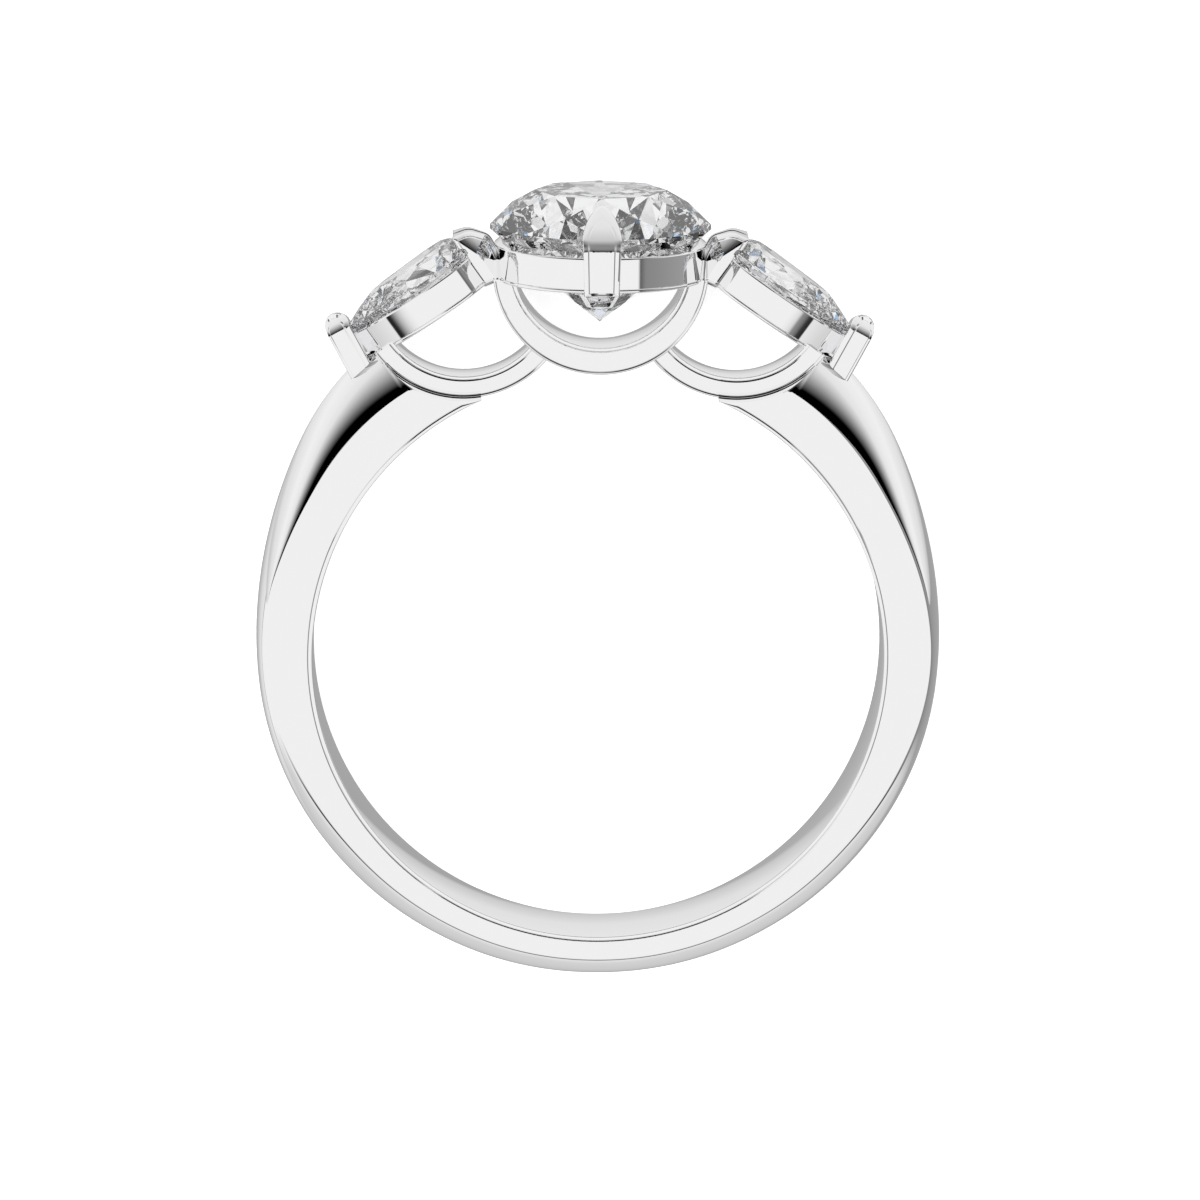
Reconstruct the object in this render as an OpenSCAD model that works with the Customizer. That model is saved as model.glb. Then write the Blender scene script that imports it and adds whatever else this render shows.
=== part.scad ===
// Three-stone ring that lies on its side, in millimetres.
// The modules draw the ring standing: X to the right, Y away from the viewer, Z towards the stones,
// with the middle of the finger hole at the origin. laid() then turns it to how it rests.

/* [Finger hole and band] */
// Inner diameter of the finger hole
bore_d = 16.5; // [16:0.1:17]
// Width of the band from front to back
band_w = 3.1; // [2.8:0.1:3.4]
// Chamfer along the two edges of the finger hole
bore_edge = 0.1; // [0.06:0.02:0.14]

/* [Centre stone and its rail] */
// Diameter of the round stone
stone_d = 6.36; // [6.2:0.02:6.5]
// Height of the top of its girdle over the middle of the finger hole
girdle_z = 12.42; // [12.3:0.02:12.5]
// Height of its upper part, from the girdle to the table
crown_h = 1; // [0.8:0.02:1.1]
// Depth of its lower part, from the girdle to the point
pavilion_h = 2.7; // [2.5:0.02:2.8]
// Outer radius of the centre rail
rail_r = 3.05; // [3:0.01:3.1]
// Height of the centre rail's straight face
rail_h = 1.02; // [0.9:0.02:1.2]

/* [Side stones and their rails] */
// Length of the pear stones
pear_len = 4.5; // [4.3:0.05:4.7]
// Width of the pear stones
pear_w = 2.8; // [2.7:0.05:2.9]
// Height of their upper part
pear_crown_h = 0.46; // [0.3:0.02:0.5]
// Depth of their lower part
pear_pavilion_h = 1.02; // [0.9:0.02:1.1]
// Angle by which the side heads lean outwards
lean = 35.5; // [34:0.5:37]
// Height of the side rails' straight face
side_rail_h = 0.93; // [0.85:0.01:1]

/* [Arches] */
// Outer radius of the centre arch
arch_r = 3.1; // [3.02:0.02:3.12]
// Outer radius of the side arches
side_arch_r = 3.16; // [3.1:0.02:3.2]
// Depth of the centre arch from front to back
arch_w = 1.94; // [1.8:0.02:2.1]
// Depth of the side arches from front to back
side_arch_w = 1.46; // [1.3:0.02:1.6]

/* [Claws] */
// Width of the front and back claws
claw_w = 1; // [0.9:0.02:1.1]
// Width of the claws at the tips of the pear stones
tip_claw_w = 0.72; // [0.6:0.02:0.8]
// Depth of the claws at the tips of the pear stones
tip_claw_depth = 1; // [0.9:0.02:1.1]
// Depth of each of the four claws between the stones
shared_claw_depth = 0.78; // [0.7:0.02:0.82]

/* [Hidden] */
$fn = 96;
far = 30;
seat_gap = 0.03;
bore_r = bore_d / 2;

// Shape of the band, a row for each section round the finger hole: angle from the bottom,
// height of the ridge over the hole and height of the flat side over the hole.
band_rows = [
    [0, 1.31, 0.70],
    [30, 1.37, 0.78],
    [60, 1.50, 1.02],
    [90, 1.63, 1.26],
    [100, 1.72, 1.40],
    [110, 1.88, 1.44],
    [120, 2.13, 1.42],
    [130, 2.48, 1.38],
    [140, 2.72, 1.20],
    [148, 2.72, 0.90],
    [157, 2.60, 0.40]
];
angle_col = 0;
ridge_col = 1;
side_col = 2;
band_end = 156;
band_steps = 78;
dome_steps = 7;
band_root = 0.4;
smooth_over = [-8, -4, 0, 4, 8];

// Round stone and its seat
stone_r = stone_d / 2;
girdle_t = 0.14;
table_r = 1.9;
rail_under_stone = 0.4;
rail_wall = 0.45;
rail_top = girdle_z - girdle_t - rail_under_stone;
rail_foot = rail_top - rail_h;
rail_edge = 0.04;
rim_h = 0.16;
rim_edge = 0.09;
rim_in = 0.12;

// Main facets of the stones, a row for each one on one side: turn from the tip, width from girdle to table.
round_mains = [for (i = [0 : 4]) [45 * i, stone_r - table_r]];
pear_mains = [[0, 1.20], [65, 0.70], [90, 0.70], [135, 0.66], [180, 0.65]];
turn_col = 0;
width_col = 1;
last_main = len(pear_mains) - 1;
star_share = 0.5;
lower_share = 0.77;

// Pear stones and their rails, in the frame of the side head
pear_b = pear_w / 2;
pear_l = pear_len - pear_b;
pear_x = -2.6;
pear_girdle_z = bore_r + 3.62;
flank_steps = 8;
end_steps = 15;
side_rail_under_stone = 0.25;
side_rail_top = pear_girdle_z - side_rail_under_stone;
side_rail_foot = side_rail_top - side_rail_h;
side_rail_in = 0.07;
side_rail_wall = 0.36;
side_rim_h = 0.1;
side_rim_in = 0.08;

// Arches: each one's outer circle dips a little into the finger hole, and its top reaches into its rail.
arch_dip = 0.07;
arch_z = bore_r + arch_r - arch_dip;
arch_hole_r = 2.5;
arch_hole_z = arch_z + 0.18;
arch_into_rail = 0.05;
side_arch_dip = 0.1;
side_arch_turn = 20.35;
side_arch_at = bore_r + side_arch_r - side_arch_dip;
side_arch_x = side_arch_at * sin(side_arch_turn);
side_arch_z = side_arch_at * cos(side_arch_turn);
side_arch_t = 0.63;
side_arch_into_centre = 0.3;
arch_edge = 0.07;
cradle_dip = 0.05;

// Front and back claws
claw_stand = 0.39;
claw_face = rail_r + claw_stand;
claw_foot = rail_foot - 0.03;
claw_shoulder = girdle_z + 0.03;
claw_top = girdle_z + 0.87;
claw_reach = 1.04;
claw_thick = 0.6;
claw_foot_share = 0.94;
claw_bend = 84;
claw_bend_r = claw_top - claw_shoulder + 0.1;
claw_lip = 0.5;
claw_notch = 0.6;

// Tip claws, from the middle of the foot to the middle of the head
tip_claw_foot = [6.81, 8.08];
tip_claw_head = [7.56, 9.46];
tip_claw_turn = atan((tip_claw_head[0] - tip_claw_foot[0]) / (tip_claw_head[1] - tip_claw_foot[1]));
tip_claw_len = norm(tip_claw_head - tip_claw_foot);
tip_claw_edge = 0.1;
tip_claw_round = 0.3;

// Shared claws: a round back over a foot on the rail
shared_claw_round = [3.8, 11.2];
shared_claw_r = 1;
shared_claw_arc = [62, 143];
shared_claw_gap = 0.14;
shared_claw_inner_foot = [2.95, rail_foot - 0.02];
shared_claw_outer_foot = [3.36, rail_foot - 0.17];

// The ring lies on the foot of its back claw and on the edge of the band's side at the bottom.
// The origin is on the surface, half way between the bottom of the band and the table of the round stone.
rest_r = bore_r + band_rows[0][side_col];
rest_tilt = atan((claw_face - band_w / 2) / (claw_foot + rest_r));
rest_lift = band_w / 2 * cos(rest_tilt) + rest_r * sin(rest_tilt);
ridge_end = (bore_r + band_rows[0][ridge_col]) * cos(rest_tilt);
table_end = (girdle_z + crown_h) * cos(rest_tilt) + table_r * sin(rest_tilt);
rest_shift = (table_end - ridge_end) / 2;

module laid() {
    translate([0, -rest_shift, rest_lift])
        rotate([rest_tilt - 90, 0, 0])
            children();
}

// Puts a side head's frame in place: X along the lean outwards, Z square to it.
module leaned() {
    rotate([0, lean, 0])
        children();
}

module both_sides() {
    children();
    mirror([1, 0, 0])
        children();
}

// A solid drawn in the X-Z plane and made deep along Y.
module upright(y0, y1) {
    translate([0, y1, 0])
        rotate([90, 0, 0])
            linear_extrude(y1 - y0)
                children();
}

function arc(x, z, r, a0, a1, n) =
    [for (i = [0 : n]) let (a = a0 + (a1 - a0) * i / n) [x + r * cos(a), z + r * sin(a)]];

// Band

function band_table(col) = [for (row = band_rows) [row[angle_col], row[col]]];

// A height read from the table and averaged over a few degrees, so that it changes smoothly.
function band_h(a, col) =
    let (t = band_table(col), v = [for (s = smooth_over) lookup(abs(abs(a) + s), t)])
    (v[0] + 2 * v[1] + 2 * v[2] + 2 * v[3] + v[4]) / 8;

// One section as [radius, y]: up the back side, over the dome and down the front side.
function band_section(a) =
    let (side = bore_r + band_h(a, side_col), rise = band_h(a, ridge_col) - band_h(a, side_col))
    concat(
        [[bore_r - band_root, band_w / 2]],
        [for (i = [0 : 2 * dome_steps])
            let (p = 90 * i / dome_steps)
            [side + rise * sin(p), band_w / 2 * cos(p)]],
        [[bore_r - band_root, -band_w / 2]]
    );

module band_blank() {
    m = 2 * dome_steps + 3;
    points = [for (k = [0 : band_steps])
        let (a = band_end * (2 * k / band_steps - 1))
        for (p = band_section(a)) [p[0] * sin(a), p[1], -p[0] * cos(a)]];
    walls = [for (k = [0 : band_steps - 1], j = [0 : m - 1])
        let (i = (j + 1) % m)
        [k * m + j, k * m + i, (k + 1) * m + i, (k + 1) * m + j]];
    start = [[for (j = [m - 1 : -1 : 0]) j]];
    end = [[for (j = [0 : m - 1]) band_steps * m + j]];
    polyhedron(points, concat(walls, start, end), convexity = 6);
}

module along_y(r, w) {
    rotate([90, 0, 0])
        cylinder(r = r, h = w, center = true);
}

module band() {
    difference() {
        difference() {
            band_blank();
            finger_hole();
        }
        both_sides()
            translate([side_arch_x, 0, side_arch_z])
                along_y(side_arch_r - cradle_dip, far);
    }
}

module finger_hole() {
    along_y(bore_r, far);
    for (s = [-1, 1])
        translate([0, s * band_w / 2, 0])
            rotate([90 * s, 0, 0])
                translate([0, 0, -bore_edge])
                    cylinder(r1 = bore_r + 2 * bore_edge, r2 = bore_r - bore_edge, h = 3 * bore_edge);
}

// Arches

module disc(r, w) {
    rotate([90, 0, 0])
        rotate_extrude()
            polygon([[0, -w / 2], [r - arch_edge, -w / 2], [r, arch_edge - w / 2],
                     [r, w / 2 - arch_edge], [r - arch_edge, w / 2], [0, w / 2]]);
}

module arch_hole(r, w) {
    along_y(r, far);
    for (s = [-1, 1])
        translate([0, s * w / 2, 0])
            rotate([90 * s, 0, 0])
                translate([0, 0, -arch_edge])
                    cylinder(r1 = r + 2 * arch_edge, r2 = r - arch_edge, h = 3 * arch_edge);
}

module centre_arch() {
    difference() {
        translate([0, 0, arch_z])
            disc(arch_r, arch_w);
        translate([0, 0, arch_hole_z])
            arch_hole(arch_hole_r, arch_w);
        translate([-far / 2, -far / 2, rail_foot + arch_into_rail])
            cube([far, far, far]);
    }
}

module side_arch() {
    difference() {
        translate([side_arch_x, 0, side_arch_z])
            disc(side_arch_r, side_arch_w);
        translate([side_arch_x, 0, side_arch_z])
            arch_hole(side_arch_r - side_arch_t, side_arch_w);
        leaned()
            translate([-far / 2, -far / 2, side_rail_foot + arch_into_rail])
                cube([far, far, far]);
        translate([0, 0, arch_z])
            along_y(arch_r - side_arch_into_centre, far);
    }
}

module arches() {
    difference() {
        union() {
            centre_arch();
            both_sides()
                side_arch();
        }
        finger_hole();
    }
}

// Rails

module centre_rail() {
    rotate_extrude()
        polygon([[rail_r - rail_wall, rail_foot], [rail_r - rail_edge, rail_foot],
                 [rail_r, rail_foot + rail_edge], [rail_r, rail_top],
                 [rail_r - rail_edge, rail_top + rim_edge], [rail_r - rim_in, rail_top + rim_h],
                 [rail_r - rail_wall, rail_top + rim_h]]);
}

// Outline of a pear, from its half width and the distance of its tip from the middle of its round end.
function flank_r(b, l) = (l * l + b * b) / (2 * b);
function pear_outline(b, l) =
    let (
        r = flank_r(b, l),
        tip = acos(l / r),
        flank = [for (i = [0 : flank_steps])
            let (a = tip + (90 - tip) * i / flank_steps)
            [r * cos(a), r * sin(a) - (r - b)]]
    )
    concat(
        flank,
        [for (i = [1 : end_steps]) let (a = 90 + 180 * (i - 0.5) / end_steps) [b * cos(a), b * sin(a)]],
        [for (i = [flank_steps : -1 : 1]) [flank[i][0], -flank[i][1]]]
    );

// The pear's outline drawn in by d on every side keeps the same flank centres.
module pear_block(d, z0, z1) {
    r = flank_r(pear_b, pear_l);
    offset_l = sqrt((r - d) * (r - d) - (r - pear_b) * (r - pear_b));
    translate([pear_x, 0, z0])
        linear_extrude(z1 - z0)
            polygon(pear_outline(pear_b - d, offset_l));
}

module side_rail() {
    leaned()
        difference() {
            union() {
                pear_block(side_rail_in, side_rail_foot, side_rail_top);
                pear_block(side_rail_in + side_rim_in,
                    side_rail_top - side_rim_h, side_rail_top + side_rim_h);
            }
            pear_block(side_rail_in + side_rail_wall, side_rail_foot - 1, side_rail_top + 1);
        }
}

// Claws

// A pointed outline with a straight foot, from its half width and its heights.
function bullet(w, z0, z1, z2) =
    let (h = z2 - z1, r = (h * h + w * w) / (2 * w), top = asin(h / r))
    concat(
        [[-w * claw_foot_share, z0], [w * claw_foot_share, z0]],
        arc(w - r, z1, r, 0, top, 8),
        [for (i = [7 : -1 : 0]) let (a = top * i / 8) [r - w - r * cos(a), z1 + r * sin(a)]]
    );

// Side view of the front claw: straight foot, then a bend over the stone.
function hook_side() =
    concat(
        [[claw_face - claw_thick, claw_foot], [claw_face, claw_foot]],
        arc(claw_face - claw_bend_r, claw_top - claw_bend_r, claw_bend_r, 0, claw_bend, 8),
        [[claw_face - claw_reach, claw_top - claw_lip], [claw_face - claw_thick, girdle_z - claw_notch]]
    );

module front_claw() {
    intersection() {
        upright(-claw_face - 1, 0)
            polygon(bullet(claw_w / 2, claw_foot - 1, claw_shoulder, claw_top));
        rotate([0, 0, -90])
            upright(-claw_w, claw_w)
                polygon(hook_side());
    }
}

// A bar with a round head, drawn along its own length: plan, front view and side view cut each other.
module tip_claw() {
    r = tip_claw_w / 2;
    d = tip_claw_depth / 2;
    e = tip_claw_edge;
    h = tip_claw_round;
    translate([tip_claw_foot[0], 0, tip_claw_foot[1]])
        rotate([0, tip_claw_turn, 0])
            intersection() {
                translate([0, 0, -e])
                    linear_extrude(tip_claw_len + 1)
                        polygon([[-r, e - d], [e - r, -d], [r - e, -d], [r, e - d],
                                 [r, d - e], [r - e, d], [e - r, d], [-r, d - e]]);
                upright(-d - 1, d + 1)
                    polygon(concat([[-r, -e], [r, -e]], arc(0, tip_claw_len, r, 0, 180, 12)));
                rotate([0, 0, 90])
                    upright(-1, 1)
                        polygon(concat([[-d, -e], [d, -e]],
                            arc(d - h, tip_claw_len + e, h, 0, 90, 5),
                            arc(h - d, tip_claw_len + e, h, 90, 180, 5)));
            }
}

module shared_claw() {
    outline = concat(
        [shared_claw_inner_foot, shared_claw_outer_foot],
        arc(shared_claw_round[0], shared_claw_round[1], shared_claw_r,
            shared_claw_arc[0], shared_claw_arc[1], 10)
    );
    for (s = [-1, 1])
        translate([0, s * (shared_claw_gap + shared_claw_depth) / 2, 0])
            upright(-shared_claw_depth / 2, shared_claw_depth / 2)
                polygon(outline);
}

// Stones: the plan is the outline above, so a round stone is a pear whose tip lies as far out as its sides.

function rim_point(b, l, t) =
    let (r = flank_r(b, l))
    t >= 90 ? [b * cos(t), b * sin(t)]
    : r * cos(t) >= l ? [l, 0]
    : [r * cos(t), r * sin(t) - (r - b)];
function turned(t) = [cos(t), sin(t)];

// The point that lies d0 and d1 along two directions.
function corner(n0, d0, n1, d1) =
    let (det = n0[0] * n1[1] - n1[0] * n0[1])
    [(d0 * n1[1] - d1 * n0[1]) / det, (n0[0] * d1 - n1[0] * d0) / det];

// Points of a brilliant cut on one side of its long axis, the girdle's top at z = 0.
function cut_points(b, l, mains, crown, pavilion, girdle) =
    let (
        tip = acos(l / flank_r(b, l)),
        n = [for (m = mains) turned(m[turn_col])],
        w = [for (m = mains) m[width_col]],
        g = [for (m = mains) rim_point(b, l, m[turn_col])],
        d = [for (i = [0 : last_main]) n[i] * g[i]],
        s = [for (i = [0 : last_main]) d[i] - star_share * w[i]],
        half = [for (i = [0 : last_main - 1])
            rim_point(b, l, (max(mains[i][turn_col], tip) + mains[i + 1][turn_col]) / 2)]
    )
    concat(
        [for (p = g) [p[0], p[1], 0]],
        [for (p = g) [p[0], p[1], -girdle]],
        [for (i = [0 : last_main]) let (p = g[i] - n[i] * w[i]) [p[0], p[1], crown]],
        [for (p = half) [p[0], p[1], 0]],
        [for (p = half) [p[0], p[1], -girdle]],
        [for (i = [0 : last_main - 1])
            let (p = corner(n[i], s[i], n[i + 1], s[i + 1]))
            [p[0], p[1], crown * star_share]],
        [for (i = [0 : last_main - 1])
            let (p = corner(n[i], d[i], n[i + 1], d[i + 1]) * (1 - lower_share))
            [p[0], p[1], -girdle - pavilion * lower_share]],
        [[0, 0, -girdle - pavilion]]
    );

module cut_stone(b, l, mains, crown, pavilion, girdle = girdle_t) {
    half = cut_points(b, l, mains, crown, pavilion, girdle);
    all = concat(half, [for (p = half) [p[0], -p[1], p[2]]]);
    hull()
        polyhedron(all, [[for (i = [0 : len(all) - 1]) i]]);
}

module round_stone() {
    translate([0, 0, girdle_z])
        cut_stone(stone_r, stone_r, round_mains, crown_h, pavilion_h);
}

// Grown by the gap, the stone is the room that it takes up in its claws and seat.
module pear_stone(grow = 0) {
    leaned()
        translate([pear_x, 0, pear_girdle_z + grow])
            cut_stone(pear_b + grow, pear_l + grow, pear_mains, pear_crown_h, pear_pavilion_h,
                girdle_t + 2 * grow);
}

// Room for the round stone, a little larger than the stone.
module round_room() {
    r = stone_r + seat_gap;
    low = girdle_z - girdle_t - seat_gap;
    top = girdle_z + crown_h + seat_gap;
    rotate_extrude()
        polygon([[0, low - pavilion_h * r / stone_r], [r, low], [r, girdle_z + seat_gap],
                 [table_r + 3 * seat_gap, top], [0, top]]);
}

module mounting() {
    color("gainsboro")
        laid()
            difference() {
                union() {
                    band();
                    arches();
                    centre_rail();
                    front_claw();
                    mirror([0, 1, 0])
                        front_claw();
                    both_sides() {
                        side_rail();
                        tip_claw();
                        shared_claw();
                    }
                }
                round_room();
                both_sides()
                    pear_stone(seat_gap);
            }
}

module centre_stone() {
    color("azure")
        laid()
            round_stone();
}

module right_stone() {
    color("azure")
        laid()
            pear_stone();
}

module left_stone() {
    color("azure")
        laid()
            mirror([1, 0, 0])
                pear_stone();
}

mounting();
centre_stone();
left_stone();
right_stone();
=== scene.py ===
"""Looks of a three-stone ring that lies on its side: polished white metal round three clear cut stones.

Sizes are in millimetres, in the standing frame: X to the right, Y away from the viewer, Z towards the stones,
with the middle of the finger hole at the origin. laid() turns them to how the ring rests, in metres.
"""

import bpy
import numpy as np
from mathutils import Matrix


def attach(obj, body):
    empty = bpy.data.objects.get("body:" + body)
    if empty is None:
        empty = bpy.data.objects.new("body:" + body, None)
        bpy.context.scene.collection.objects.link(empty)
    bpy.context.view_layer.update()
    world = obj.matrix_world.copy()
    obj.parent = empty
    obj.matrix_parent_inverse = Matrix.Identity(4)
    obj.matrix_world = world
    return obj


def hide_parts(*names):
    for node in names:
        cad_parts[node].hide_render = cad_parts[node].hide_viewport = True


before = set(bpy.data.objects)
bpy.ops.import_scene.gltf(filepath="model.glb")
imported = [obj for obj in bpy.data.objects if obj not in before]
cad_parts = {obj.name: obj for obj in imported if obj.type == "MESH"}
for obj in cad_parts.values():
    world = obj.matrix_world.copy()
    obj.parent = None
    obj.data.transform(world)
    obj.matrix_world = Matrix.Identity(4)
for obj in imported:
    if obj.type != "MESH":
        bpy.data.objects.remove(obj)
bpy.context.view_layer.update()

# Finger hole and band
bore_r = 8.25
band_w = 3.1
bore_edge = 0.12
side_round = 0.2
band_end = 155.6
# Rows of the band: angle from the bottom, height of the ridge over the finger hole, height of the flat
# side's edge, tilt of the dome there, and how far the dome keeps its direction from the side and from
# the ridge
band_rows = np.array([
    [0, 1.31, 0.70, 20, 0.40, 0.85],
    [30, 1.37, 0.75, 22, 0.42, 0.85],
    [50, 1.45, 0.83, 24, 0.45, 0.85],
    [60, 1.50, 0.93, 24, 0.48, 0.85],
    [70, 1.54, 1.08, 24, 0.45, 0.85],
    [80, 1.59, 1.28, 27, 0.32, 0.70],
    [90, 1.63, 1.41, 32, 0.22, 0.60],
    [100, 1.72, 1.41, 43, 0.40, 0.50],
    [110, 1.88, 1.32, 43, 0.78, 0.38],
    [120, 2.13, 1.28, 38.5, 0.98, 0.30],
    [130, 2.48, 1.33, 34.3, 0.98, 0.30],
    [140, 2.72, 1.35, 32, 1.00, 0.20],
    [148, 2.72, 1.27, 31, 0.95, 0.20],
    [157, 2.60, 1.15, 30, 0.95, 0.20],
])
smoothing = 9

# Round stone and its rail
stone_r = 3.18
girdle_z = 12.42
girdle_t = 0.14
culet_z = 9.6
crown_h = 1
table_r = 1.9
rail_r = 3.05
rail_wall = 0.45
rail_foot = 10.86
rail_top = 12.04

# Pear stones and their rails, in the frame of a side head that leans outwards
lean = np.radians(35.5)
pear_b = 1.4
pear_l = 3.1
pear_x = -2.6
side_rail_foot = 10.69
side_rail_top = 11.72
side_rail_in = 0.07
side_rail_wall = 0.36

# Fine lines cut into the rails' walls
line_half = 0.025
line_deep = 0.015

# Arches
arch_w = 1.94
arch_r = 3.1
arch_z = 11.28
arch_hole_r = 2.5
arch_hole_z = 11.46
side_arch_w = 1.46
side_arch_r = 3.16
side_arch_t = 0.63
side_arch_sunk = 0.1
side_arch_at = bore_r + side_arch_r - side_arch_sunk
side_arch_turn = np.radians(20.35)
side_arch_mid = side_arch_at * np.array([np.sin(side_arch_turn), np.cos(side_arch_turn)])
cradle_r = side_arch_r - 0.05

# Claws
claw_face = 3.44
claw_foot = 10.83
claw_w = 1.1
claw_foot_w = 1.02
claw_shoulder = 12.42
claw_tip = 13.29
tip_claw_w = 0.72
tip_claw_deep = 0.5
tip_claw_foot = np.array([6.76, 7.98])
tip_claw_head = np.array([7.56, 9.46])
shared_claw_deep = 0.86

# The ring lies on the foot of its back claw and on the edge of the band's side at the bottom
rest_r = bore_r + 0.7
rest_tilt = np.arctan((claw_face - band_w / 2) / (claw_foot + rest_r))
rest_lift = band_w / 2 * np.cos(rest_tilt) + rest_r * np.sin(rest_tilt)
ridge_end = (bore_r + band_rows[0, 1]) * np.cos(rest_tilt)
table_end = (girdle_z + crown_h) * np.cos(rest_tilt) + table_r * np.sin(rest_tilt)
rest_shift = (table_end - ridge_end) / 2


def turned_down(v):
    """Turns directions about X by a quarter turn less the rest tilt, so the ring's back faces the floor."""
    s, c = np.sin(rest_tilt), np.cos(rest_tilt)
    x, y, z = np.moveaxis(np.asarray(v, float), -1, 0)
    return np.stack([x, y * s + z * c, z * s - y * c], -1)


def laid(p):
    """Puts points of the standing ring where they rest: turned, moved to the floor and scaled to metres."""
    return (turned_down(p) + [0, -rest_shift, rest_lift]) / 1000


def leaned(x, y, z):
    """Points of the side head's frame, turned about Y by the lean."""
    return np.stack([x * np.cos(lean) + z * np.sin(lean), y, z * np.cos(lean) - x * np.sin(lean)], -1)


def mirrored(p):
    """The same points on the left of the ring."""
    return p * [-1, 1, 1]


# Surfaces

def skin(name, grid, ring=False, crease=25):
    """Makes a closed surface from a grid of points.

    The first axis runs along the piece and the second one round it. Four neighbours make a face, the second
    axis closes on itself, and the first one does so too for a ring; otherwise one flat face closes each end.
    The faces are turned round if the volume that they enclose, the sum of their corners' triple products, is
    negative. Edges that turn by more than the crease, in degrees, stay sharp.
    """
    p = laid(grid)
    m, n = p.shape[:2]
    i = np.arange(m if ring else m - 1)[:, None]
    j = np.arange(n)[None, :]
    a, b = i * n, (i + 1) % m * n
    k = (j + 1) % n
    quads = np.stack([a + j, a + k, b + k, b + j], -1).reshape(-1, 4)
    p = p.reshape(-1, 3)
    q = p - p.mean(0)
    volume = (np.cross(q[quads[:, 0]], q[quads[:, 1]]) * q[quads[:, 2]]).sum()
    volume += (np.cross(q[quads[:, 0]], q[quads[:, 2]]) * q[quads[:, 3]]).sum()
    faces = quads.tolist()
    if not ring:
        faces += [list(range(n))[::-1], list(range((m - 1) * n, m * n))]
    if volume < 0:
        faces = [f[::-1] for f in faces]
    mesh = bpy.data.meshes.new(name)
    mesh.from_pydata(p.tolist(), [], faces)
    mesh.shade_smooth()
    mesh.set_sharp_from_angle(angle=np.radians(crease))
    piece = bpy.data.objects.new(name, mesh)
    bpy.context.collection.objects.link(piece)
    return piece


def rounded(corners, radii, steps=6, hold=0.015):
    """Rounds the corners of outlines with arcs, for a whole stack of outlines at once.

    At a corner p with unit vectors a and b towards its neighbours and an inner half angle h, an arc of radius
    r leaves the sides at the distance r / tan(h), and its centre lies at r / sin(h) along the bisector. One
    more point on each side of the arc, at the distance hold, keeps the flat faces flat in the light.
    """
    p = np.asarray(corners, float)
    a = np.roll(p, 1, -2) - p
    b = np.roll(p, -1, -2) - p
    a /= np.linalg.norm(a, axis=-1, keepdims=True)
    b /= np.linalg.norm(b, axis=-1, keepdims=True)
    half = np.arccos(np.clip((a * b).sum(-1, keepdims=True), -1, 1)) / 2
    r = np.asarray(radii, float)[:, None]
    t = r / np.tan(half)
    bisector = (a + b) / np.linalg.norm(a + b, axis=-1, keepdims=True)
    middle = p + bisector * r / np.sin(half)
    start, end = p + a * t - middle, p + b * t - middle
    w = np.pi - 2 * half
    k = np.linspace(0, 1, steps + 1)[:, None]
    w, start, end = w[..., None, :], start[..., None, :], end[..., None, :]
    arc = middle[..., None, :] + (np.sin((1 - k) * w) * start + np.sin(k * w) * end) / np.sin(w)
    before = (p + a * (t + hold))[..., None, :]
    after = (p + b * (t + hold))[..., None, :]
    loop = np.concatenate([before, arc, after], -2)
    return loop.reshape(*p.shape[:-2], -1, 2)


# Band

def band_value(a, column):
    """A value of the band at the angles a: the rows' straight runs, averaged over a window of angles.

    The weight in the window is 1 + cos(pi * angle / smoothing).
    """
    window = np.linspace(-smoothing, smoothing, 37)
    weight = 1 + np.cos(np.pi * window / smoothing)
    v = np.interp(np.abs(np.abs(a)[:, None] + window), band_rows[:, 0], band_rows[:, column])
    return (v @ (weight / weight.sum()))[:, None]


def lined_edge(line, r=0.035, wide=0.06, deep=0.018, steps=4):
    """A rounded edge with a fine cut line beside it, from the wall to the face, as distances from both.

    A quarter round of radius r leads from the wall to the face, and the line is a V whose middle lies at the
    distance line from the wall. The first result is the distance from the wall, the second one that from the
    face.
    """
    q = np.radians(np.linspace(0, 90, steps + 1))
    x = np.concatenate([r * (1 - np.cos(q)), [r + 0.005], line + wide * np.array([-0.5, 0, 0.5])])
    y = np.concatenate([r * (1 - np.sin(q)), [0], deep * np.array([0, 1, 0])])
    return x, y


def bent(start, towards, back, end, t):
    """A cubic curve: four points weighed by (1-t)^3, 3t(1-t)^2, 3t^2(1-t) and t^3, for each coordinate."""
    weights = [(1 - t) ** 3, 3 * t * (1 - t) ** 2, 3 * t ** 2 * (1 - t), t ** 3]
    return [sum(w * p for w, p in zip(weights, ps)) for ps in zip(start, towards, back, end)]


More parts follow.
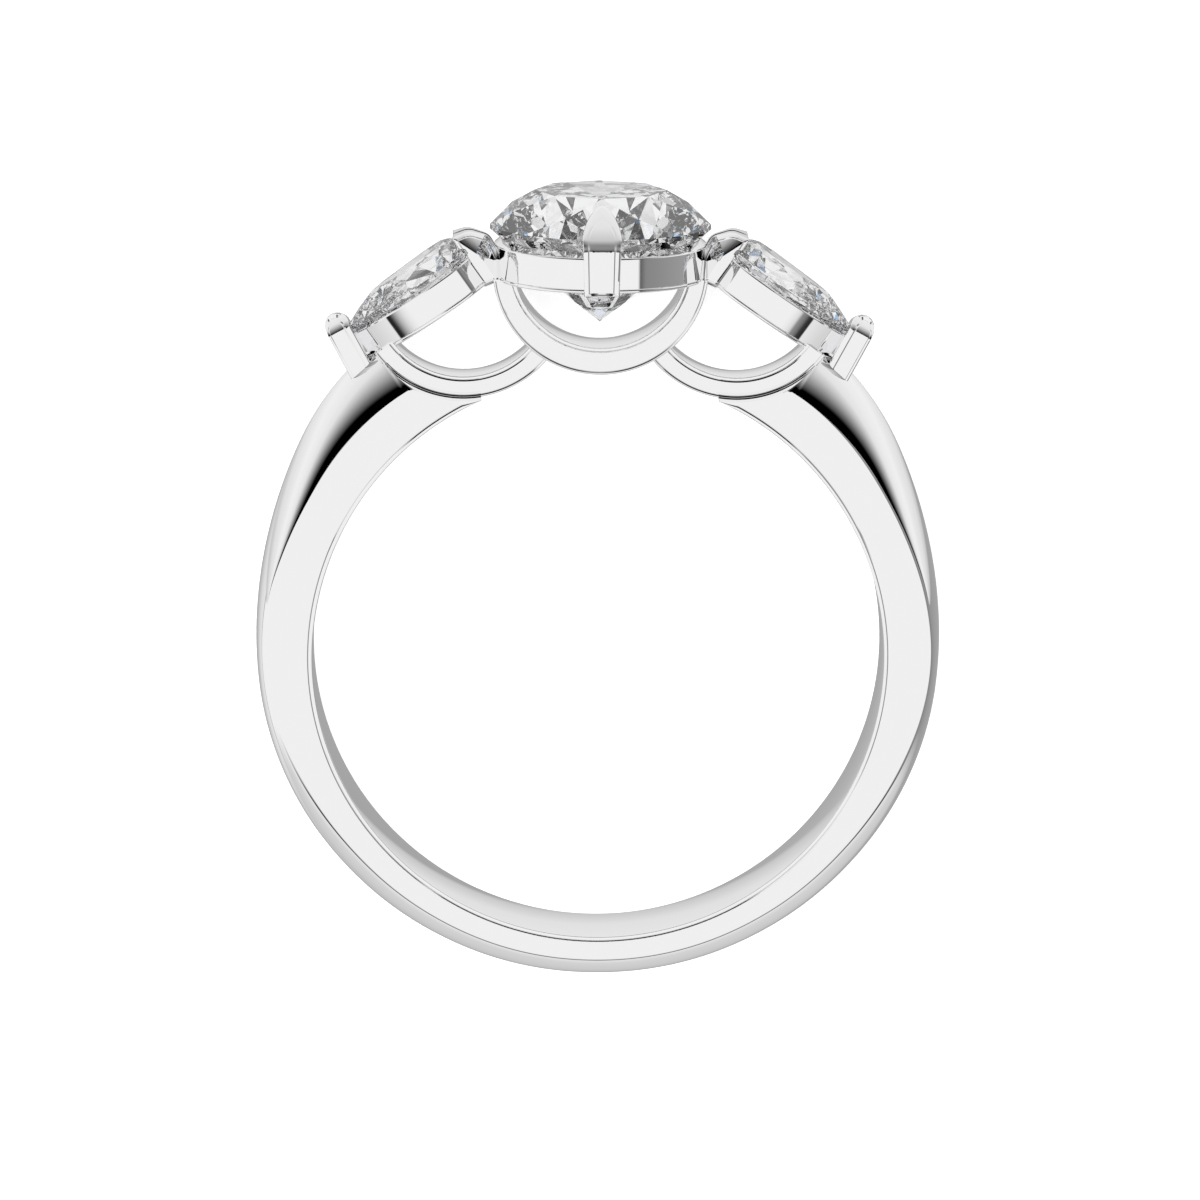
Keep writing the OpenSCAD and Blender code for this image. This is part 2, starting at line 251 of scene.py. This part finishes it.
def band():
    """The band's sections, carried round the finger hole.

    A section starts at the front edge of the hole with a quarter round and a cut line, and runs up the flat
    side. A second round, side_round, turns it to the dome, a cubic curve that starts with the rows' tilt and
    ends level at the ridge. The back is alike. No point lies further out than the cradle, the first meeting
    of its ray with the circle on which a side arch sits: where the dome would, it ends at the cradle, and
    the section's middle lies on it.
    """
    a = np.linspace(-band_end, band_end, 721)
    ridge, side = bore_r + band_value(a, 1), bore_r + band_value(a, 2)
    tilt, stiff_side, stiff_ridge = np.radians(band_value(a, 3)), band_value(a, 4), band_value(a, 5)
    off = np.radians(180 - np.abs(a)) - side_arch_turn
    reach = cradle_r ** 2 - (side_arch_at * np.sin(off)) ** 2
    cradle = np.where(reach > 0, side_arch_at * np.cos(off) - np.sqrt(np.maximum(reach, 0)), np.inf)[:, None]
    w, f = band_w / 2, side_round
    # The edge gets smaller where the cradle comes close to the hole
    edge_x, edge_y = lined_edge(bore_edge)
    edge = np.minimum(bore_edge, 0.45 * (cradle - bore_r))
    foot_r, foot_y = bore_r + edge / bore_edge * edge_x, -w + edge / bore_edge * edge_y
    flank_share = np.array([0.04, 0.35, 0.65, 0.92, 1])
    flank_end = side - f * np.sin(tilt)
    flank_r = (bore_r + edge) + (flank_end - bore_r - edge) * flank_share
    flank_y = np.full_like(flank_r, -w)
    turn = tilt * np.linspace(0, 1, 6)[1:]
    turn_r = flank_end + f * np.sin(turn)
    turn_y = -w + f * (1 - np.cos(turn))

    start = [side, -w + f * (1 - np.cos(tilt))]
    towards = [start[0] + stiff_side * np.cos(tilt), start[1] + stiff_side * np.sin(tilt)]
    curve = [start, towards, [ridge, -stiff_ridge], [ridge, 0]]
    # The share of the dome's curve at which it meets the cradle, which is last_cut if it doesn't
    trials, last_cut = 300, 0.9
    trial = bent(*curve, np.linspace(0, 1, trials + 1))[0]
    step = np.clip((trial < cradle).sum(1, keepdims=True), 1, trials)
    low, high = (np.take_along_axis(trial, k, 1) for k in (step - 1, step))
    cut = np.where(cradle < high, (step - 1 + (cradle - low) / (high - low)) / trials, last_cut)
    cut = np.clip(cut, 0.001, last_cut)
    dome_r, dome_y = bent(*curve, cut * np.linspace(0, 1, 33)[1:])
    crest_r, crest_y = bent(*curve, cut + (1 - cut) * np.linspace(0, 1, 9)[1:])
    r = np.minimum(np.concatenate([foot_r, flank_r, turn_r, dome_r, crest_r], 1), cradle)
    y = np.concatenate([foot_y, flank_y, turn_y, dome_y, crest_y], 1)
    r = np.concatenate([r, r[:, -2::-1]], 1)
    y = np.concatenate([y, -y[:, -2::-1]], 1)
    t = np.radians(a)[:, None]
    return np.stack([r * np.sin(t), y, -r * np.cos(t)], -1)


# Arches

def arch(inner, outer, w, line=0.11, outer_line=0.08):
    """A bar between two lines of points in the X-Z plane, w deep along Y.

    A fine line is cut beside each of its edges. The two lines have as many points as each other, and each
    pair of points gives one section.
    """
    length = np.linalg.norm(outer - inner, axis=-1)
    out = (outer - inner) / length[:, None]
    zero = np.zeros_like(length)
    x, y = lined_edge(line)
    outer_x, outer_y = lined_edge(outer_line)
    front = np.concatenate([zero[:, None] + x, length[:, None] - outer_x[::-1]], 1)
    side = np.concatenate([y, outer_y[::-1]]) - w / 2
    loop = np.stack([
        np.concatenate([front, front[:, ::-1]], 1),
        np.broadcast_to(np.concatenate([side, -side[::-1]]), (len(length), 2 * len(side))),
    ], -1)
    point_x = inner[:, None, 0] + loop[..., 0] * out[:, None, 0]
    point_z = inner[:, None, 1] + loop[..., 0] * out[:, None, 1]
    return np.stack([point_x, loop[..., 1], point_z], -1)


def circle(mid, r, start, end, n=181):
    """Points of a circle in the X-Z plane, by angle from +X towards +Z."""
    a = np.radians(np.linspace(start, end, n))
    return np.stack([mid[0] + r * np.cos(a), mid[1] + r * np.sin(a)], -1)


def centre_arch():
    """A bar between two circles that aren't concentric, up to one height inside the centre rail.

    Each circle starts and ends where it reaches that height: arcsin of the height under its middle, over its
    radius.
    """
    top = rail_foot + 0.08
    a = np.degrees(np.arcsin((arch_hole_z - top) / arch_hole_r))
    b = np.degrees(np.arcsin((arch_z - top) / arch_r))
    inner = circle((0, arch_hole_z), arch_hole_r, 180 + a, 360 - a)
    outer = circle((0, arch_z), arch_r, 180 + b, 360 - b)
    return arch(inner, outer, arch_w)


def side_arch():
    """A bar from inside the side rail's outer end, round the bottom, to inside the centre arch."""
    start, end = -37, -146
    inner = circle(side_arch_mid, side_arch_r - side_arch_t, start, end)
    outer = circle(side_arch_mid, side_arch_r, start, end)
    return arch(inner, outer, side_arch_w)


# Rails

def cut_line(wall, z, inwards):
    """The three corners of a fine V in an upright wall, whose middle lies at the height z."""
    return [[wall, z - line_half], [wall + inwards * line_deep, z], [wall, z + line_half]]


def rail_section(inner, wall, inwards, foot, top, line, slope, seat, round_foot, round_top):
    """A rail's section: a wall with a cut line near the foot and one under the slope that faces the stone.

    The slope leaves the wall at its first number under the top, and is as wide as its second one. The seat
    lies on the inside, so much lower than the top.
    """
    corners = [[inner, foot], [wall, foot]]
    corners += cut_line(wall, foot + line, inwards)
    corners += cut_line(wall, top - slope[0] - line_half, inwards)
    corners += [[wall + inwards * slope[1], top], [inner, top - seat]]
    return rounded(corners, round_foot + [0.001] * 6 + round_top, hold=0.004)


def centre_rail():
    """The round rail's section, turned about Z."""
    section = rail_section(rail_r - rail_wall, rail_r, -1, rail_foot, rail_top, line=0.095,
                           slope=(0.16, 0.19), seat=0.28, round_foot=[0.04, 0.04], round_top=[0.02, 0.03])
    a = np.radians(np.arange(0, 360, 1.5))[:, None]
    r, z = section[:, 0], section[:, 1]
    return np.stack([r * np.cos(a), r * np.sin(a), z + 0 * a], -1)


def pear(d, n_flank=40, n_end=60):
    """The pear's outline drawn in by d: two flank arcs from the tip, and a half circle of radius pear_b - d.

    The flanks' centres stay where they are, so the tip moves in until the two arcs meet again.
    """
    flank = (pear_l ** 2 + pear_b ** 2) / (2 * pear_b)
    r = flank - d
    tip = np.arccos(np.sqrt(r ** 2 - (flank - pear_b) ** 2) / r)
    a = tip + (np.pi / 2 - tip) * np.linspace(0, 1, n_flank + 1)
    side = np.stack([r * np.cos(a), r * np.sin(a) - (flank - pear_b)], -1)
    b = np.pi * (0.5 + np.linspace(0, 1, n_end + 1)[1:-1])
    end = (pear_b - d) * np.stack([np.cos(b), np.sin(b)], -1)
    return np.concatenate([side, end, side[:0:-1] * [1, -1]])


def side_rail():
    """The side rail's section carried round the pear: its first number is a distance inside the outline."""
    section = rail_section(side_rail_in + side_rail_wall, side_rail_in, 1, side_rail_foot, side_rail_top,
                           line=0.095, slope=(0.11, 0.13), seat=0.3, round_foot=[0.03, 0.04],
                           round_top=[0.01, 0.02])
    rings = np.stack([pear(d) for d in section[:, 0]], 1)
    z = np.broadcast_to(section[:, 1], rings.shape[:2])
    return leaned(rings[..., 0] + pear_x, rings[..., 1], z)


# Claws

def bent_face(knots, far=2.0):
    """How far a face has gone back at a height: the sum of the tangent of its tilt.

    The tilt runs straight between knots of height and tilt in degrees.
    """
    h, tilt = np.array(knots, float).T
    along = np.linspace(h[0], h[0] + far, 801)
    gone = np.cumsum(np.tan(np.radians(np.interp(along, h, tilt)))) * (along[1] - along[0])
    return lambda z: np.interp(z, along, gone)


# Across a claw's edge from the panel to the rim: a fine cut line, a slight slope and a small round
edge_across = np.array([0.15, 0.3, 0.5, 0.8, 0.9, 0.96, 1])
edge_down = np.array([0.064, 0, 0.05, 0.14, 0.2, 0.3, 0.5])


def pad(rim, panel, face, depth, closed=True, wall=4):
    """A claw in front view, as a stack of rings: x and z stay as drawn, and y is the face's plus a depth.

    From the middle of the panel the rings grow to its edge, go down over the edge to the rim and straight on
    to the depth, and close underneath. face(x, z) and depth(x, z) give y and the thickness under it. The cut
    line is deeper where the face bends back, that is, where it lies further back than at the foot.
    """
    middle = panel.mean(0)
    grow = np.linspace(0.02, 1, 44)[:, None, None]
    across, drop = edge_across[:, None, None], edge_down[:, None] * np.ones(len(rim))
    bends_back = face(panel[:, 0], panel[:, 1]) > face(*panel[-1]) + 0.05
    drop[0, bends_back] *= 1.3
    down = np.linspace(0, 1, wall + 1)[1:, None, None]
    thick = depth(rim[:, 0], rim[:, 1])[None]
    edge = np.minimum(np.linalg.norm(rim - panel, axis=-1)[None], 0.8 * thick)
    flat = [middle + (panel - middle) * grow, panel + (rim - panel) * across, rim + 0 * down]
    deep = [0 * flat[0][..., 0], edge * drop, edge / 2 + (thick - edge / 2) * down[..., 0]]
    if closed:
        under = middle + (rim - middle) * grow[::-1]
        flat.append(under)
        deep.append(depth(under[..., 0], under[..., 1]))
    flat, deep = np.concatenate(flat), np.concatenate(deep)
    x, z = flat[..., 0], flat[..., 1]
    return np.stack([x, face(x, z) + deep, z], -1)


def claw_outline(foot_w, w, z0, z1, z2, blunt=0.78, n_foot=24, n_side=40, n_top=60):
    """Half widths and heights of a claw in front view: a straight foot, straight sides and a pointed arch.

    Over the height z1 the half width is w * (1 - t ** 1.9) ** blunt, with t from 0 at z1 to 1 at the tip.
    """
    t = np.sin(np.linspace(0, np.pi / 2, n_top + 1))
    arch_x = w * (1 - t ** 1.9) ** blunt
    arch_z = z1 + (z2 - z1) * t
    side_k = np.linspace(0, 1, n_side + 1)[:-1]
    right = np.stack([
        np.concatenate([foot_w + (w - foot_w) * side_k, arch_x]),
        np.concatenate([z0 + (z1 - z0) * side_k, arch_z]),
    ], -1)
    foot = np.stack([np.linspace(-foot_w, foot_w, n_foot + 1)[1:-1], np.full(n_foot - 1, z0)], -1)
    return np.concatenate([right, right[-2::-1] * [-1, 1], foot])


def front_claw():
    """The face is upright to a crease under the girdle, from where it bends back over the stone.

    Underneath, the claw reaches to the stone, whose radius runs straight from the culet to the girdle and on
    to the table.
    """
    rim = claw_outline(claw_foot_w / 2, claw_w / 2, claw_foot, claw_shoulder, claw_tip)
    panel = claw_outline(0.32, 0.35, claw_foot + 0.12, claw_shoulder, claw_tip - 0.42, blunt=0.6)
    gone = bent_face([[12.11, 0], [12.12, 34], [12.2, 38], [12.3, 38], [12.42, 44], [12.85, 50], [13.3, 52]])
    stone_z = [culet_z, girdle_z - girdle_t, girdle_z, girdle_z + crown_h]

    def face(x, z):
        return gone(z) - claw_face

    def depth(x, z):
        stone = np.interp(z, stone_z, [0, stone_r, stone_r, table_r])
        stone = np.sqrt(np.maximum(stone ** 2 - x ** 2, 0))
        return np.clip(-face(x, z) - stone - 0.01, 0.03, 0.6)

    return pad(rim, panel, face, depth)


def tip_claw():
    """A bar that leans with the pear's tip, alike in front and at the back, with a head round both ways.

    It is drawn upright, and then its heights are laid along the line from its foot to its head.
    """
    length = np.linalg.norm(tip_claw_head - tip_claw_foot)
    up = (tip_claw_head - tip_claw_foot) / length
    w = tip_claw_w / 2
    panel_w = w - 0.16
    rim = claw_outline(w, w, 0, length, length + w, blunt=0.5)
    panel = claw_outline(panel_w, panel_w, 0.02, length - 0.05, length + 0.1, blunt=0.5) + [0.06, 0]
    gone = bent_face([[length - 0.16, 0], [length - 0.13, 34], [length + 0.2, 57], [length + 0.36, 68]])

    def face(x, z):
        return np.minimum(gone(z) - tip_claw_deep, -0.1)

    front = pad(rim, panel, face, lambda x, z: -face(x, z), closed=False)
    bar = np.concatenate([front, front[-2::-1] * [1, -1, 1]])
    x, y, h = np.moveaxis(bar, -1, 0)
    x, z = x * up[1] + h * up[0], h * up[1] - x * up[0]
    return np.stack([tip_claw_foot[0] + x, y, tip_claw_foot[1] + z], -1)


def shared_claw():
    """A claw between two stones: a foot on the rails, and a back that rolls over both from a slanting crease.

    The crease passes through the point crease and is square to the direction over, along which the face's
    height is measured.
    """
    rim = rounded([
        [2.93, 10.86], [3.34, 10.68], [4.28, 12.1], [3.8, 12.28], [3.2, 12.1], [2.93, 11.6],
    ], [0.04, 0.05, 0.05, 0.5, 0.4, 0.4], steps=16)
    panel = rounded([
        [3.06, 10.97], [3.32, 10.86], [4.08, 12.03], [3.78, 12.13], [3.26, 11.95], [3.06, 11.55],
    ], [0.02, 0.03, 0.03, 0.4, 0.3, 0.3], steps=16)
    crease, over = (3.37, 11.48), (-0.59, 0.81)
    gone = bent_face([[-0.03, 0], [0, 34], [0.3, 43], [0.9, 52]])

    def face(x, z):
        height = (z - crease[1]) * over[1] + (x - crease[0]) * over[0]
        return np.minimum(gone(height) - shared_claw_deep, -0.2)

    return pad(rim, panel, face, lambda x, z: -0.09 - face(x, z))


# Finishes

def finish(name):
    """A new material, with its nodes, links and main shader at hand."""
    material = bpy.data.materials.new(name)
    material.use_nodes = True
    nodes, links = material.node_tree.nodes, material.node_tree.links
    return material, nodes, links, nodes["Principled BSDF"]


def noise(nodes, links, scale, detail=3.0):
    """Cloudy noise on Object coordinates, at so many cells a metre."""
    place = nodes.new("ShaderNodeTexCoord")
    cloud = nodes.new("ShaderNodeTexNoise")
    cloud.inputs["Scale"].default_value = scale
    cloud.inputs["Detail"].default_value = detail
    links.new(place.outputs["Object"], cloud.inputs["Vector"])
    return cloud.outputs["Fac"]


def ramp(nodes, links, source, low, high):
    """Spreads a value from 0 to 1 between two numbers."""
    spread_out = nodes.new("ShaderNodeMapRange")
    spread_out.inputs["To Min"].default_value = low
    spread_out.inputs["To Max"].default_value = high
    links.new(source, spread_out.inputs["Value"])
    return spread_out.outputs["Result"]


def polished_metal():
    """White metal with a mirror polish, with faint buffing marks and a little haze from the wheel."""
    material, nodes, links, shader = finish("polished_white_metal")
    shader.inputs["Metallic"].default_value = 1
    shader.inputs["Base Color"].default_value = (0.94, 0.94, 0.945, 1)
    haze = noise(nodes, links, 260)
    links.new(ramp(nodes, links, haze, 0.015, 0.045), shader.inputs["Roughness"])
    marks = nodes.new("ShaderNodeBump")
    marks.inputs["Strength"].default_value = 0.02
    marks.inputs["Distance"].default_value = 0.00001
    links.new(noise(nodes, links, 2600, 5), marks.inputs["Height"])
    links.new(marks.outputs["Normal"], shader.inputs["Normal"])
    return material


def clear_stone():
    """Colourless stone with a diamond's refraction, and a faint cloud of growth that tints it a little."""
    material, nodes, links, shader = finish("clear_stone")
    shader.inputs["Transmission Weight"].default_value = 1
    shader.inputs["IOR"].default_value = 2.42
    shader.inputs["Roughness"].default_value = 0
    tint = nodes.new("ShaderNodeMix")
    tint.data_type = "RGBA"
    tint.inputs["A"].default_value = (1, 1, 1, 1)
    tint.inputs["B"].default_value = (0.985, 0.99, 1, 1)
    links.new(noise(nodes, links, 400), tint.inputs["Factor"])
    links.new(tint.outputs["Result"], shader.inputs["Base Color"])
    return material


def pale_floor():
    """Opal white floor that glows a little, as a light table does, with a hardly visible grain."""
    material, nodes, links, shader = finish("pale_floor")
    shader.inputs["Roughness"].default_value = 0.9
    shader.inputs["Specular IOR Level"].default_value = 0
    shader.inputs["Emission Strength"].default_value = 0.56
    shader.inputs["Emission Color"].default_value = (1, 1, 1, 1)
    grain = nodes.new("ShaderNodeMix")
    grain.data_type = "RGBA"
    grain.inputs["A"].default_value = (0.86, 0.86, 0.86, 1)
    grain.inputs["B"].default_value = (0.88, 0.88, 0.88, 1)
    links.new(noise(nodes, links, 40), grain.inputs["Factor"])
    links.new(grain.outputs["Result"], shader.inputs["Base Color"])
    return material


# Pieces

metal = polished_metal()
pieces = [
    skin("band", band()),
    skin("centre_arch", centre_arch()),
    skin("centre_rail", centre_rail(), ring=True),
    skin("front_claw", front_claw(), crease=15),
    skin("back_claw", front_claw() * [1, -1, 1], crease=15),
]
for side, sided in {"right": lambda p: p, "left": mirrored}.items():
    pieces += [
        skin(f"{side}_arch", sided(side_arch())),
        skin(f"{side}_rail", sided(side_rail()), ring=True),
        skin(f"{side}_tip_claw", sided(tip_claw()), crease=15),
        skin(f"{side}_front_shared_claw", sided(shared_claw()), crease=15),
        skin(f"{side}_back_shared_claw", sided(shared_claw() * [1, -1, 1]), crease=15),
    ]
for piece in pieces:
    piece.data.materials.append(metal)
    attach(piece, "root")
    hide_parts("mounting")

stone = clear_stone()
for node in ("centre_stone", "left_stone", "right_stone"):
    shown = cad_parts[node]
    shown.data.materials.clear()
    shown.data.materials.append(stone)


# Floor, light and camera

def floor():
    """A wide square under the ring."""
    half = 2.0
    corners = [(-half, -half, 0), (half, -half, 0), (half, half, 0), (-half, half, 0)]
    mesh = bpy.data.meshes.new("floor")
    mesh.from_pydata(corners, [], [(0, 1, 2, 3)])
    mesh.materials.append(pale_floor())
    ground = bpy.data.objects.new("floor", mesh)
    bpy.context.collection.objects.link(ground)
    ground.visible_glossy = False
    ground.visible_transmission = False


# The tent's strength by the upward angle from the front, in degrees: a soft box with black above it, which
# grows lighter away from the viewer, and a thin dark gap below it
up_stops = [
    (-180, 0.45), (-120, 0.68), (-75, 0.75), (-53, 0.9), (-52.5, 0.02), (-48, 0.02), (-44, 0.25), (-36, 0.7),
    (-26, 1), (41.5, 1), (43.5, 0), (57, 0), (64, 0.17), (78, 0.62), (88, 0.88), (105, 0.96), (130, 1),
    (168, 0.85), (180, 0.6),
]
# The same by the sideways angle: a thin dark gap on the left and grey on the right
across_stops = [
    (-180, 0.42), (-165, 0.5), (-140, 0.8), (-113, 0.9), (-111, 0.3), (-108.5, 0.3), (-107, 1),
    (41.5, 1), (43, 0.12), (50, 0.27), (100, 0.36), (135, 0.4), (160, 0.42), (180, 0.42),
]
# The part that the sideways angle plays near the level: by the upward angle, and by height over the level
level_by_up = [(-180, 1), (41, 1), (43, 0), (178, 0), (180, 1)]
level_by_height = [(-180, 0), (-36, 0), (-28, 1), (180, 1)]
# Narrow black cards, which only the light that passes through the stones meets, and a blue one for their fire
cards_up = [
    (-180, 1), (-161, 1), (-160, 0), (-148, 0), (-147, 1), (-96, 1), (-95, 0), (-83, 0), (-82, 1),
    (-55, 1), (-54, 0), (-46, 0), (-45, 1), (-15, 1), (-14, 0), (-6, 0), (-5, 1),
    (29, 1), (30, 0.2, 0.55, 1), (35, 0.2, 0.55, 1), (36, 0), (60, 0), (64, 1),
    (123, 1), (124, 0), (134, 0), (135, 1), (180, 1),
]
cards_across = [
    (-180, 1), (-148, 1), (-147, 0), (-135, 0), (-134, 1), (-81, 1), (-80, 0), (-67, 0), (-66, 1),
    (-24, 1), (-23, 0), (-16, 0), (-15, 1), (15, 1), (16, 0), (23, 0), (24, 1),
    (66, 1), (67, 0), (80, 0), (81, 1), (134, 1), (135, 0), (147, 0), (148, 1), (180, 1),
]
tent_strength = 0.92


def tent():
    """A light tent: its strength goes by the sideways angle near the level and by the upward angle elsewhere.

    Both are angles in the standing ring's frame. Light that has passed through a stone meets the cards
    instead, and their two strengths are multiplied.
    """
    world = bpy.data.worlds.new("tent")
    bpy.context.scene.world = world
    world.use_nodes = True
    nodes, links = world.node_tree.nodes, world.node_tree.links
    place = nodes.new("ShaderNodeTexCoord")

    def along(direction):
        dot = nodes.new("ShaderNodeVectorMath")
        dot.operation = "DOT_PRODUCT"
        dot.inputs[1].default_value = turned_down(direction)
        links.new(place.outputs["Generated"], dot.inputs[0])
        return dot.outputs["Value"]

    def angle(part, front):
        turn = nodes.new("ShaderNodeMath")
        turn.operation = "ARCTAN2"
        links.new(part, turn.inputs[0])
        links.new(front, turn.inputs[1])
        return turn.outputs["Value"]

    def steps(source, stops):
        """Strength, or a colour, by the angle in degrees, straight between the stops."""
        scale = nodes.new("ShaderNodeMapRange")
        scale.inputs["From Min"].default_value = -np.pi
        scale.inputs["From Max"].default_value = np.pi
        links.new(source, scale.inputs["Value"])
        table = nodes.new("ShaderNodeValToRGB")
        links.new(scale.outputs["Result"], table.inputs["Fac"])
        dots = table.color_ramp.elements
        while len(dots) < len(stops):
            dots.new(0.5)
        for dot, (degrees, *value) in zip(dots, stops):
            dot.position = (degrees + 180) / 360
            dot.color = (*(value * 3)[:3], 1)
        return table.outputs["Color"]

    def mixed(a, b, share=None, blend="MIX"):
        """The two values by the share of the second one, which is 1 if none is given."""
        mix = nodes.new("ShaderNodeMix")
        mix.data_type = "RGBA"
        mix.blend_type = blend
        mix.inputs["Factor"].default_value = 1
        if share is not None:
            links.new(share, mix.inputs["Factor"])
        links.new(a, mix.inputs["A"])
        links.new(b, mix.inputs["B"])
        return mix.outputs["Result"]

    front, top, right = along([0, -1, 0]), along([0, 0, 1]), along([1, 0, 0])
    upward, sideways = angle(top, front), angle(right, front)
    height = nodes.new("ShaderNodeMath")
    height.operation = "ARCSINE"
    links.new(top, height.inputs[0])
    level = nodes.new("ShaderNodeMath")
    level.operation = "MULTIPLY"
    links.new(steps(upward, level_by_up), level.inputs[0])
    links.new(steps(height.outputs["Value"], level_by_height), level.inputs[1])
    cloth = mixed(steps(upward, up_stops), steps(sideways, across_stops), level.outputs["Value"])
    cards = mixed(steps(upward, cards_up), steps(sideways, cards_across), blend="MULTIPLY")
    ray = nodes.new("ShaderNodeLightPath")
    background = nodes["Background"]
    links.new(mixed(cloth, cards, ray.outputs["Is Transmission Ray"]), background.inputs["Color"])
    background.inputs["Strength"].default_value = tent_strength


key_power = 4
key_size = 0.5
key_place = np.array([-0.15, 0.1, 0.8])


def key_light():
    """A large soft lamp over the ring that lights the floor alone, since neither metal nor stones mirror it.

    Its axes are the unit vector from the ring to the lamp, and two more that are square to it.
    """
    lamp = bpy.data.lights.new("key_light", "AREA")
    lamp.shape = "DISK"
    lamp.size = key_size
    lamp.energy = key_power
    lamp_object = bpy.data.objects.new("key_light", lamp)
    bpy.context.collection.objects.link(lamp_object)
    z = key_place / np.linalg.norm(key_place)
    x = np.cross([0, 1, 0], z)
    x /= np.linalg.norm(x)
    axes = np.stack([x, np.cross(z, x), z], 1)
    lamp_object.matrix_world = Matrix.Translation(key_place.tolist()) @ Matrix(axes.tolist()).to_4x4()
    lamp_object.visible_glossy = False
    lamp_object.visible_transmission = False


def camera():
    """Looks at the ring from in front and a little above, as it would if the ring stood.

    The frame is 1200 pixels wide, the focal length is pixels_per_mm * distance in pixels, and the view is
    turned so that the finger hole's middle falls on hole_px. The ring's own small turn about Z and roll about
    Y are given to the camera instead.
    """
    distance, height = 260, np.radians(11.15)
    turn, roll = np.radians(0.9), np.radians(0.4)
    pixels_per_mm, frame_px, sensor_mm = 34.459, 1200, 36
    focus_px = pixels_per_mm * distance
    hole_px = np.array([597.5, 647.8])
    spin = np.array([[np.cos(turn), -np.sin(turn), 0], [np.sin(turn), np.cos(turn), 0], [0, 0, 1]])
    spin = spin @ [[np.cos(roll), 0, np.sin(roll)], [0, 1, 0], [-np.sin(roll), 0, np.cos(roll)]]
    forward = np.array([0, np.cos(height), -np.sin(height)])
    up = np.array([0, np.sin(height), np.cos(height)])
    right = np.array([1.0, 0, 0])
    place = -distance * forward
    off = (frame_px / 2 - hole_px) / focus_px
    forward = forward + right * off[0] - up * off[1]
    forward /= np.linalg.norm(forward)
    up = up - forward * (up @ forward)
    up /= np.linalg.norm(up)
    right = np.cross(forward, up)
    axes = turned_down(np.stack([right, up, -forward]) @ spin)
    lens = bpy.data.cameras.new("camera")
    lens.sensor_width = sensor_mm
    lens.lens = focus_px / frame_px * sensor_mm
    lens.clip_start, lens.clip_end = 0.01, 10
    eye = bpy.data.objects.new("camera", lens)
    bpy.context.collection.objects.link(eye)
    eye.matrix_world = Matrix.Translation(laid(place @ spin).tolist()) @ Matrix(axes.T.tolist()).to_4x4()
    bpy.context.scene.camera = eye


floor()
tent()
key_light()
camera()
bpy.context.scene.view_settings.view_transform = "Standard"
# Light turns round many times in a cut stone before it comes out
turns = 14
light_paths = bpy.context.scene.cycles
light_paths.max_bounces = turns
light_paths.glossy_bounces = turns
light_paths.transmission_bounces = turns
bpy.context.view_layer.update()
